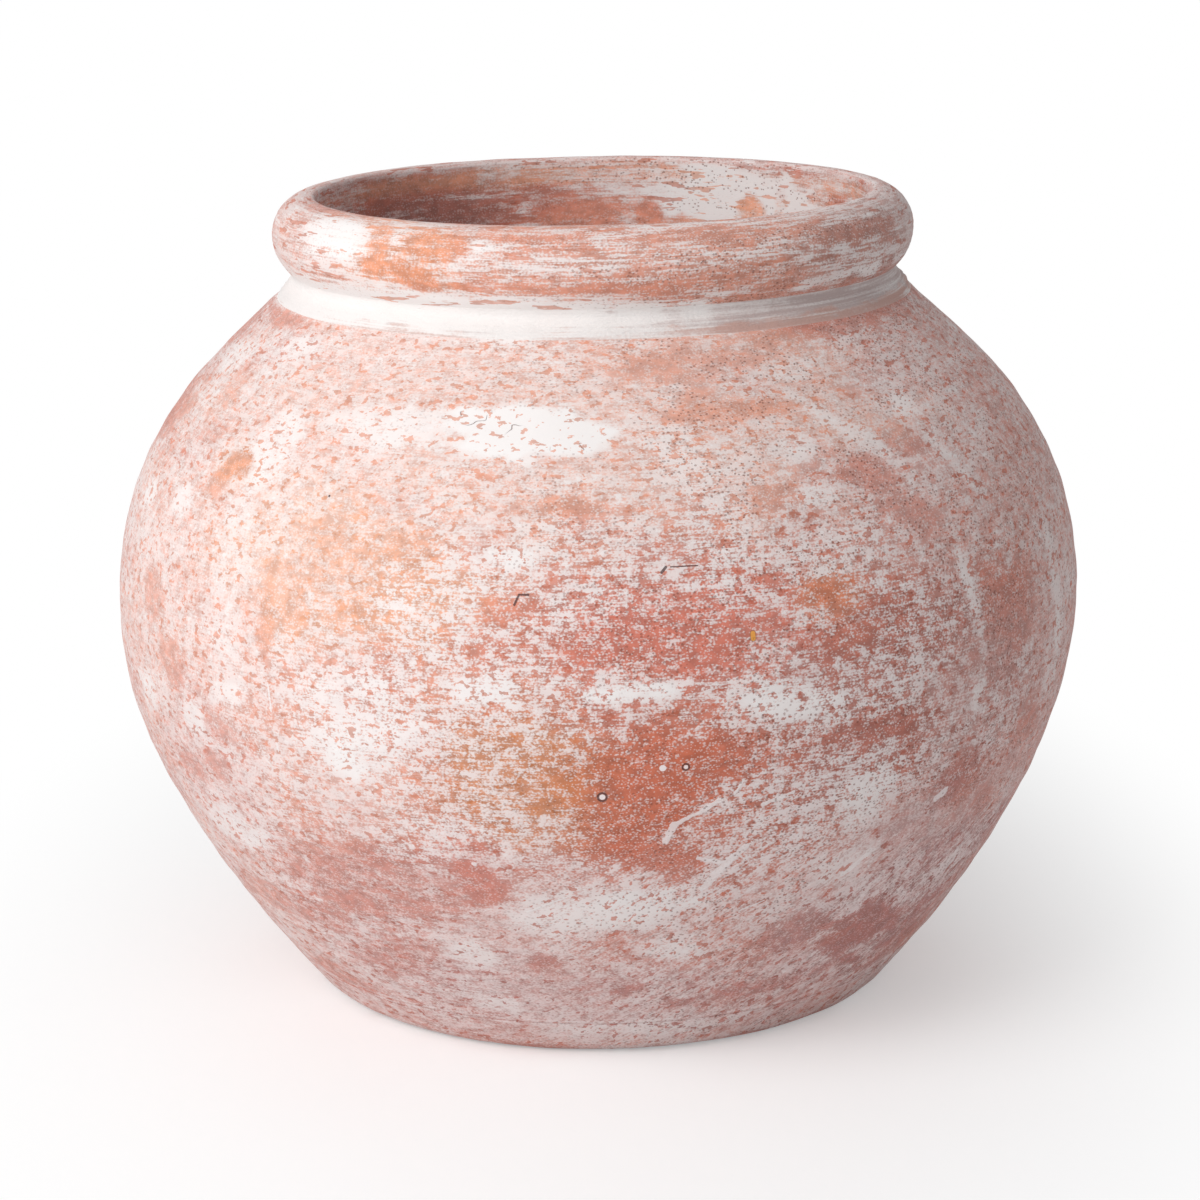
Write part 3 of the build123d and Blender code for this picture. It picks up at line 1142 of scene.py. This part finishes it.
# %% [markdown]
# ## Single marks
#
# Some marks can be told apart by themselves: a forked drip, smears and dots of wash that stand on the red
# heart of the belly, two pinholes with a dark ring, a chip and a small stone in the clay. Each is drawn
# as a straight run from one place on the wall to another, and the material measures how far it is from
# the nearest of them.

# %% Places on the wall
bowl_skins = [Skin(lower_bowl), Skin(upper_bowl)]


def on_wall(angle, length):
    """The place of the nearest vertex on the outside of the bowls, in millimetres."""
    best = None
    for skin in bowl_skins:
        off = np.hypot((skin.angle - angle) * math.radians(skin.radius.max()), skin.length - length)
        off = np.where(skin.on("outside"), off, np.inf)
        row = int(np.argmin(off))
        if best is None or off[row] < best[0]:
            best = (off[row], Vector(skin.places[row] / MM))
    return best[1]


def marks(*rows):
    """Each row is angle and length at the start, the same at the end, and half the width."""
    return [(on_wall(a, b), on_wall(c, d), half_width) for a, b, c, d, half_width in rows]


def dot(angle, length, half_width):
    """A round mark starts and ends at the same place."""
    return angle, length, angle, length, half_width


# %% The marks
lime_marks = marks(
    (11.8, 100, 14.2, 111, 1.4),
    (14.2, 111, 16.6, 117, 1.3),
    (14.2, 111, 11.2, 114, 0.8),
    (6.8, 122, 8.2, 129, 1.2),
    (8.2, 129, 13.2, 137, 0.9),
    (18.0, 134, 21.6, 138, 0.8),
    (14.4, 140, 15.4, 144, 0.5),
    (31, 97, 33.6, 104, 1.2),
    (17.4, 86, 20.3, 89.5, 0.4),
    (-9.6, 90, -4.0, 98, 0.35),
    (-38.6, 172, -38.2, 148, 0.5),
    (42.5, 122, 43.5, 124, 1.6),
    dot(-15, 113, 0.9),
)
dot_marks = marks(dot(6.5, 152, 1.15), dot(0.1, 141.5, 1.0), dot(9.2, 150.5, 0.7))
ring_marks = marks(dot(0.1, 141.5, 1.45), dot(9.2, 150.5, 1.15))
chip_marks = marks(
    (-9.1, 207.0, -8.4, 210.4, 0.34),
    (-8.4, 210.4, -7.3, 210.6, 0.30),
    (6.8, 216.6, 7.5, 218.0, 0.42),
    (8.2, 218.6, 11.2, 218.4, 0.16),
    dot(-33.5, 238, 0.4),
)
stone_marks = marks((16.2, 193.0, 16.4, 195.0, 0.85))
print(sum(map(len, (lime_marks, dot_marks, ring_marks, chip_marks, stone_marks))), "marks")

# %% [markdown]
# ## How the wash is worn
#
# The wash isn't worn in one way all over. Low on the right it was brushed on a slant. On the heart of
# the belly and on the rim it is broken into hard-edged crumbs and the bare clay is a full red, while
# elsewhere the edges are soft and a milky film dulls the clay. Three more numbers for each vertex say
# where: slant, broken and vivid.

# %% Slant, broken and vivid for every piece
heart_of_belly = (6, 165, 210, 150, 0)
front_of_rim = (22, 335, 150, 60, 0)
vivid_ovals = (
    # angle, length, width, height, tilt, strength
    (0, 335, 260, 60, 0, 0.9),
    (-30, 95, 120, 70, 0, 0.35),
    (45, 65, 110, 70, 0, 0.40),
    (0, 45, 260, 70, 0, 0.35),
)
broken_inside = 0.3
vivid_inside = 0.95

for piece in pieces:
    skin = Skin(piece)
    right = smooth(skin.angle, -30, 10) * smooth(skin.angle, 130, 90)
    write(piece, "slant", right * smooth(skin.length, 140, 95))
    skin.fray = skin.cloud(40, 30, 51, 2)
    heart = np.maximum(oval(skin, *heart_of_belly), 0.8 * oval(skin, *front_of_rim))
    write(piece, "broken", np.where(skin.on("inside"), broken_inside, 0.5 + 0.5 * heart))
    vivid = heart
    for *place, strength in vivid_ovals:
        vivid = np.maximum(vivid, strength * oval(skin, *place))
    write(piece, "vivid", np.where(skin.on("inside"), vivid_inside, 0.5 + 0.5 * vivid))
print("laid on", len(pieces), "pieces")

# %% [markdown]
# ## Lime wash
#
# Lime wash over fired clay is two matt layers, and everything that is seen is where the one covers the
# other. So the material works out one number, the cover, from the painted wash and from noise in five
# sizes: hand-wide clouds, worn crumbs, brush lines, a net of sand and single grains. Where the cover is
# high the wash is opaque, where it is low the clay is bare, and between them is a thin milky film. The
# same number raises the surface a little, because the wash has a thickness.
#
# The belly, the shoulder, the rim and the foot all have this wash. Low down it is faintly lilac, and its
# lightness there is painted light from the white floor. On the right it is pinker than on the left, a
# painted tint of the warm shade on the side away from the lamp. On the rim, which was turned on the
# wheel, the same marks are drawn out level.

# %% Colours of the wash
# the milk low down is faintly pink, and its lightness is painted light from the white floor
milk_low_floor_lit = (0.92, 0.81, 0.80, 1)
milk_high = (0.885, 0.83, 0.815, 1)
white_left = (0.92, 0.885, 0.87, 1)
# thick wash on the right: a painted tint of the warm shade away from the lamp
white_right_warm_shade = (0.91, 0.83, 0.805, 1)
crack_brown = (0.28, 0.15, 0.12, 1)
pit_brown = (0.25, 0.085, 0.055, 1)
# near black, for the rings round the two pinholes and for the chips
ring_and_chip_black = (0.09, 0.05, 0.05, 1)
stone_rim = (0.30, 0.12, 0.06, 1)
stone_ochre = (0.80, 0.36, 0.08, 1)
print("thick wash on the left is", white_left[:3])


# %% Noise of the wash, and how much clay shows through it
class LimeWash(ClayFinish):
    """Wash whose marks are drawn out that many times across and along the wall."""

    def __init__(self, name, across=1.0, along=1.0):
        super().__init__(name)
        self.big = self.strokes(24 * across, 14 * along, seed=1, detail=1.0)
        self.worn = self.strokes(5.0 * across, 4.6 * along, seed=2, detail=3.0, rough=0.80)
        self.lines = self.strokes(13 * across, 0.75, seed=8, detail=1.5, rough=0.6)
        self.flecks = self.strokes(3.8 * across, 2.5, seed=6, detail=2.5, rough=0.6)
        self.net = self.grit(1.0, 0.8)
        self.broken = self.read("broken")
        sand = self.strokes(0.8, 0.5, seed=4, detail=0.5) * 0.34 + self.net * 0.44
        self.grain = sand * (self.broken * 0.6 + 0.22)
        self.wash = self.read("wash")
        self.soft = self.wash + self.big * 0.16
        self.thick = self.soft.between(0.35, 0.90)
        self.opaque = self.cover().between(0.34, 0.68)

    def cover(self):
        """The painted wash and all the noise in one number."""
        worn = self.worn * (self.broken * 0.7 + 0.65)
        lines = self.lines * (self.broken * 0.6 + 0.15)
        return self.soft + worn + lines + self.grain

    def clay_share(self):
        """How much of the clay's colour shows: through opaque wash, through bare clay's film, by flecks."""
        vivid = self.read("vivid")
        milky = 0.43 - self.thick * 0.31 - vivid * 0.20
        ruddy = 0.35 + vivid * 0.51 + (1 - self.soft.between(0.10, 0.66)) * (0.38 - vivid * 0.28)
        ruddy = ruddy - (self.net + self.worn).between(0.02, 0.26) * (self.broken * 0.30 + 0.08)
        bare = ruddy + (milky - ruddy) * self.opaque
        spots = self.flecks.between(0.09, 0.11) * self.soft.between(0.30, 0.50)
        bits = self.flecks.between(-0.13, -0.15) * self.soft.between(0.25, 0.50)
        bits = bits * self.soft.between(0.86, 0.70)
        bare = bare + (1 - bare) * spots * 0.7
        return bare * (1 - bits * 0.55)

    def wash_colour(self):
        """The wash itself: milk where it is a film, and white where it is thick."""
        # low down the milk's lightness is painted light from the white floor
        milk = self.mix(self.z.between(60, 230), milk_low_floor_lit, milk_high)
        # on the right the white is pinker, a painted tint of the warm shade away from the lamp
        white = self.mix(self.x.between(10, 150), white_left, white_right_warm_shade)
        return self.mix(self.thick, milk, white)

    def clay_colour(self):
        """The clay's painted colour, a little lighter and darker in streaks."""
        shade = self.strokes(5, 3, seed=7, detail=2.0).between(-0.2, 0.2, 0.78, 1.12)
        # the clay colour holds painted shade on the right, and painted light and shade inside the mouth
        return self.vector("SCALE", {0: self.read("clay", output=0), "Scale": shade})

    def pits(self):
        """Pinholes where grains of the net fell out, most of them on the right."""
        holes = self.grit(1.8, 1.5).between(0.22, 0.30) * (self.big + 0.5).between(0.36, 0.56)
        return holes * self.soft.between(0.95, 0.70) * (self.x.between(-90, 70) * 0.75 + 0.25)

    def crack(self):
        """Hairlines in the thickest wash."""
        hairline = self.speckle(11, 8, seed=9, detail=1.5).crest(0.009)
        return hairline * self.wash.between(0.84, 0.92) * (self.big + 0.5).between(0.5, 0.6)

    def white_seam(self):
        """Two lines of wash that were left in the groove of the foot joint."""
        gap = (self.up - seam_length / MM).size() - 1.3
        return gap.crest(0.7) * self.worn.between(-0.12, 0.08) * 0.6


# %% Limewashed terracotta
def limewash(name, across=1.0, along=1.0):
    """The whole finish, with the single marks on top."""
    lime = LimeWash(name, across, along)
    smear = (lime.from_marks(lime_marks) + lime.flecks * 2.6).between(1.2, 0.8) * 0.85
    dots = lime.from_marks(dot_marks).between(1.15, 0.85)
    bare = lime.clay_share() * (1 - smear.most(dots).most(lime.white_seam()))
    colour = lime.mix(bare, lime.wash_colour(), lime.clay_colour())
    crack = lime.crack()
    pits = lime.pits()
    rings = (lime.from_marks(ring_marks) - 1).size().between(0.32, 0.12)
    dark_marks = rings.most(lime.from_marks(chip_marks).between(1.3, 0.7))
    stone = lime.from_marks(stone_marks)
    colour = lime.mix(crack * 0.8, colour, crack_brown)
    colour = lime.mix(pits * 0.6, colour, pit_brown)
    # the pinholes' rings and the chips are painted near black
    colour = lime.mix(dark_marks * 0.85, colour, ring_and_chip_black)
    colour = lime.mix(stone.between(1.5, 1.1) * 0.7, colour, stone_rim)
    colour = lime.mix(stone.between(1.1, 0.8), colour, stone_ochre)
    roughness = bare.between(0, 1, 0.93, 0.82)
    height = lime.opaque * 0.5 + lime.grain * 0.4 + smear * 0.8 - crack * 1.5 - dark_marks * 2 - pits
    return lime.finish(colour, roughness, height, depth=0.15)


# %% [markdown]
# ## Bare clay and slip
#
# The coils inside were never washed, so they show the clay as it was pressed. The slip at the neck is
# clay and lime stirred thin and smeared on with a fingertip. It is white in front, and on the right it
# is so thin that the brown of the clay comes through in level streaks. Its grey near the roll on the
# right is partly painted shade from the roll above.

# %% Bare clay of the coils
clay_dark = (0.44, 0.13, 0.075, 1)
clay_light = (0.66, 0.27, 0.16, 1)
matt = 0.85


def raw_clay():
    """Sandy clay with soft smears."""
    raw = ClayFinish("bare clay")
    grit = raw.speckle(1.4, 1.0, seed=11, detail=2.0)
    smear = raw.speckle(24, 6, seed=12, detail=2.0)
    tone = (grit * 0.5 + smear * 0.7).between(-0.2, 0.2)
    return raw.finish(raw.mix(tone, clay_dark, clay_light), matt, grit + smear, depth=0.3)


# %% Pale slip at the neck
slip_white = (0.86, 0.82, 0.80, 1)
# the thin slip's grey: partly its own colour, partly painted shade from the roll above
slip_grey_and_roll_shade = (0.51, 0.39, 0.37, 1)
slip_over_clay = (0.55, 0.29, 0.23, 1)


def pale_slip():
    """White slip with level streaks, which turns to a film where it is thin and at its lower edge."""
    slip = ClayFinish("slip")
    smear = slip.speckle(60, 1.3, seed=21, detail=2.5, rough=0.6)
    grain = slip.speckle(1.2, 0.7, seed=22, detail=1.0)
    thin = (slip.read("wash") + smear * 1.2 + grain * 0.3).between(0.20, 0.66, 0.80, 0.0)
    frayed = (slip.up + slip.speckle(14, 6, seed=23, detail=3.0) * 14).between(309.5, 307.5)
    film = slip.mix(frayed, slip_grey_and_roll_shade, slip_over_clay)
    return slip.finish(slip.mix(thin, slip_white, film), matt, smear + grain, depth=0.25)


# %% [markdown]
# ## Dress the pieces
#
# Each piece gets its finish, is shaded smooth except at its edges, rides on the jar's one body, and
# stands in for its node of the model.

# %% Dress the pieces
edge_angle = math.radians(50)
limewashed = limewash("lime wash")
turned = limewash("turned lime wash", across=3.6, along=0.45)
raw = raw_clay()
slip = pale_slip()
dress = {
    "base_slab": (base_slab, limewashed, "limewashed_terracotta"),
    "lower_bowl": (lower_bowl, limewashed, "limewashed_terracotta"),
    "upper_bowl": (upper_bowl, limewashed, "limewashed_terracotta"),
    "rolled_rim": (rolled_rim, turned, "limewashed_terracotta"),
    "corner_coil": (corner_coil, raw, "raw_terracotta"),
    "belt_coil": (belt_coil, raw, "raw_terracotta"),
    "neck_fillet": (neck_fillet, slip, "pale_slip"),
}
for node, (piece, material, slot) in dress.items():
    piece.data.materials.append(material)
    deselect()
    piece.select_set(True)
    bpy.context.view_layer.objects.active = piece
    bpy.ops.object.shade_smooth_by_angle(angle=edge_angle)
    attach(piece, "root")
    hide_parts(node)
print("dressed", len(dress), "pieces")

# %% [markdown]
# ## A flat map for the bake
#
# When the jar is exported, its finish is painted onto flat images. A map that is made by itself wastes
# room and turns each patch its own way. A spun piece unrolls like a label instead: the outside is cut
# into strips that lie one above the other, and what is hardly seen gets a low strip of its own.

# %% How far each row of a spun piece lies along its section
def along_section(skin, row):
    """The run to each row over the mean section, and the length of the edge that closes it."""
    share = np.bincount(row)
    profile = np.column_stack([np.bincount(row, v) / share for v in (skin.radius, skin.height)])
    return run_along(profile), math.dist(profile[0], profile[-1])


# %% Unroll a spun piece in strips
def unroll(piece, layout, gap=0.004):
    """A UV map from rows of side, number of strips and the height of each strip."""
    skin = Skin(piece)
    mesh = piece.data
    row = read(piece, "row").astype(int)
    run, closing_length = along_section(skin, row)
    corner_vertex = gather(mesh.loops, "vertex_index", kind=np.int32)
    first = gather(mesh.polygons, "loop_start", kind=np.int32)
    face = np.repeat(np.arange(len(first)), np.diff(np.r_[first, len(corner_vertex)]))
    corner_row = row[corner_vertex]
    angle = np.radians(skin.angle[corner_vertex])
    middle = np.angle(np.add.reduceat(np.exp(1j * angle), first))
    turn = (angle - middle[face] + math.pi) % math.tau - math.pi
    top = np.maximum.reduceat(corner_row, first)
    closing = (top == row.max()) & (np.minimum.reduceat(corner_row, first) == 0)
    side = np.where(closing, SIDES.index("joint"), np.array(piece["sides"])[top])
    along = run[corner_row]
    along[closing[face] & (corner_row == 0)] = run[-1] + closing_length
    flat = np.zeros((len(corner_vertex), 2))
    base = 0
    for name, strips, height in layout:
        here = (side == SIDES.index(name))[face]
        strip = np.floor((middle / math.tau + 0.5) * strips).clip(0, strips - 1)[face]
        across = ((middle[face] + turn) / math.tau + 0.5) * strips - strip
        up = (along - along[here].min()) / np.ptp(along[here])
        flat[here, 0] = (gap + across * (1 - 2 * gap))[here]
        flat[here, 1] = (base + strip * height + gap + up * (height - 2 * gap))[here]
        base += strips * height
    layer = mesh.uv_layers.new(name="OFBake")
    layer.data.foreach_set("uv", flat.astype(np.float32).ravel())
    print(piece.name, "unrolled in strips that fill", round(base, 3), "of the height")


bowl_layout = (("outside", 3, 0.28), ("inside", 1, 0.13), ("joint", 1, 0.03))
unroll(lower_bowl, bowl_layout)
unroll(upper_bowl, bowl_layout)
unroll(rolled_rim, (("outside", 3, 0.21), ("inside", 2, 0.16), ("joint", 1, 0.05)))
unroll(neck_fillet, (("outside", 4, 0.22), ("joint", 1, 0.12)))

# %% [markdown]
# ## Floor and light
#
# The jar stands on a pale floor that runs off into white. To the camera, and to whatever mirrors it, the
# floor glows a little, so that only the jar's own shadow shows on it. To all other light it is plain
# matt, so the jar isn't lit by the glow. A large soft lamp stands to the upper left, and the rest of the
# room fills in.

# %% Which rays see the background
def seen(nodes):
    """1 for rays from the camera, off gloss and through glass, and 0 for those that light the jar."""
    rays = ("Is Camera Ray", "Is Glossy Ray", "Is Transmission Ray")
    camera_ray, glossy_ray, clear_ray = (nodes.node("ShaderNodeLightPath", output=ray) for ray in rays)
    return camera_ray.most(glossy_ray).most(clear_ray)


# %% Floor
white = (1, 1, 1, 1)
floor_glow = 0.34
floor_pale = (0.86, 0.86, 0.86, 1)
floor_shaded = (0.71, 0.71, 0.71, 1)
floor_radius = 4
floor_drop = 0.1 * MM

deselect()
bpy.ops.mesh.primitive_circle_add(
    vertices=96, radius=floor_radius, fill_type="NGON", location=(0, 0, -floor_drop)
)
floor = bpy.context.object
floor.name = "floor"
bpy.ops.object.transform_apply()
ground = Finish("floor")
place = ground.node("ShaderNodeTexCoord", output=3)
squeezed = ground.vector("MULTIPLY", {0: place, 1: (1, 0.5, 1)})
away = ground.vector("LENGTH", {0: squeezed}, output=1).between(0.10, 0.30)
glow = ground.node("ShaderNodeEmission", None, {"Color": white, "Strength": floor_glow})
backdrop = ground.node("ShaderNodeEmission", None, {"Color": white, "Strength": 1.0})
lit = ground.node("ShaderNodeBsdfDiffuse", None, {"Color": floor_pale})
shadowed = ground.node("ShaderNodeBsdfDiffuse", None, {"Color": floor_shaded})
near = ground.node("ShaderNodeAddShader", None, {0: shadowed, 1: glow})
pale = ground.node("ShaderNodeMixShader", None, {0: away, 1: near, 2: backdrop})
both = ground.node("ShaderNodeMixShader", None, {0: seen(ground), 1: lit, 2: pale})
ground.join(both, ground.tree.nodes["Material Output"].inputs["Surface"])
floor.data.materials.append(ground.material)
print("floor", 2 * floor_radius, "m across")

# %% Room light
room_light = (0.97, 0.98, 1, 1)
room_strength = 0.44

world = bpy.data.worlds.new("studio")
world.use_nodes = True
bpy.context.scene.world = world
studio = Nodes(world.node_tree)
background = studio.tree.nodes["Background"]
studio.join(room_light, background.inputs["Color"])
studio.join(room_strength, background.inputs["Strength"])
fill = Wire(studio, background.outputs[0])
backdrop = studio.node("ShaderNodeBackground", None, {"Color": white})
room = studio.node("ShaderNodeMixShader", None, {0: seen(studio), 1: fill, 2: backdrop})
studio.join(room, studio.tree.nodes["World Output"].inputs["Surface"])
print("room light", room_strength)

# %% Key lamp
key_azimuth = math.radians(-44)  # 0 is the camera's side, and right is positive
key_elevation = math.radians(35)
key_distance = 1.8
key_size = 1.1
key_power = 20.6
key_colour = (1, 0.995, 0.99)

sideways, forward = math.sin(key_azimuth), -math.cos(key_azimuth)
level_share = math.cos(key_elevation)
away = Vector((sideways * level_share, forward * level_share, math.sin(key_elevation)))
lamp = bpy.data.lights.new("key", "AREA")
lamp.shape = "SQUARE"
lamp.size = key_size
lamp.energy = key_power
lamp.color = key_colour
key_lamp = bpy.data.objects.new("key", lamp)
key_lamp.location = Vector((0, 0, aim_height)) + away * key_distance
key_lamp.rotation_euler = away.to_track_quat("Z", "Y").to_euler()
bpy.context.scene.collection.objects.link(key_lamp)
bpy.context.scene.view_settings.view_transform = "Standard"
print("key lamp at", [round(v, 3) for v in key_lamp.location])
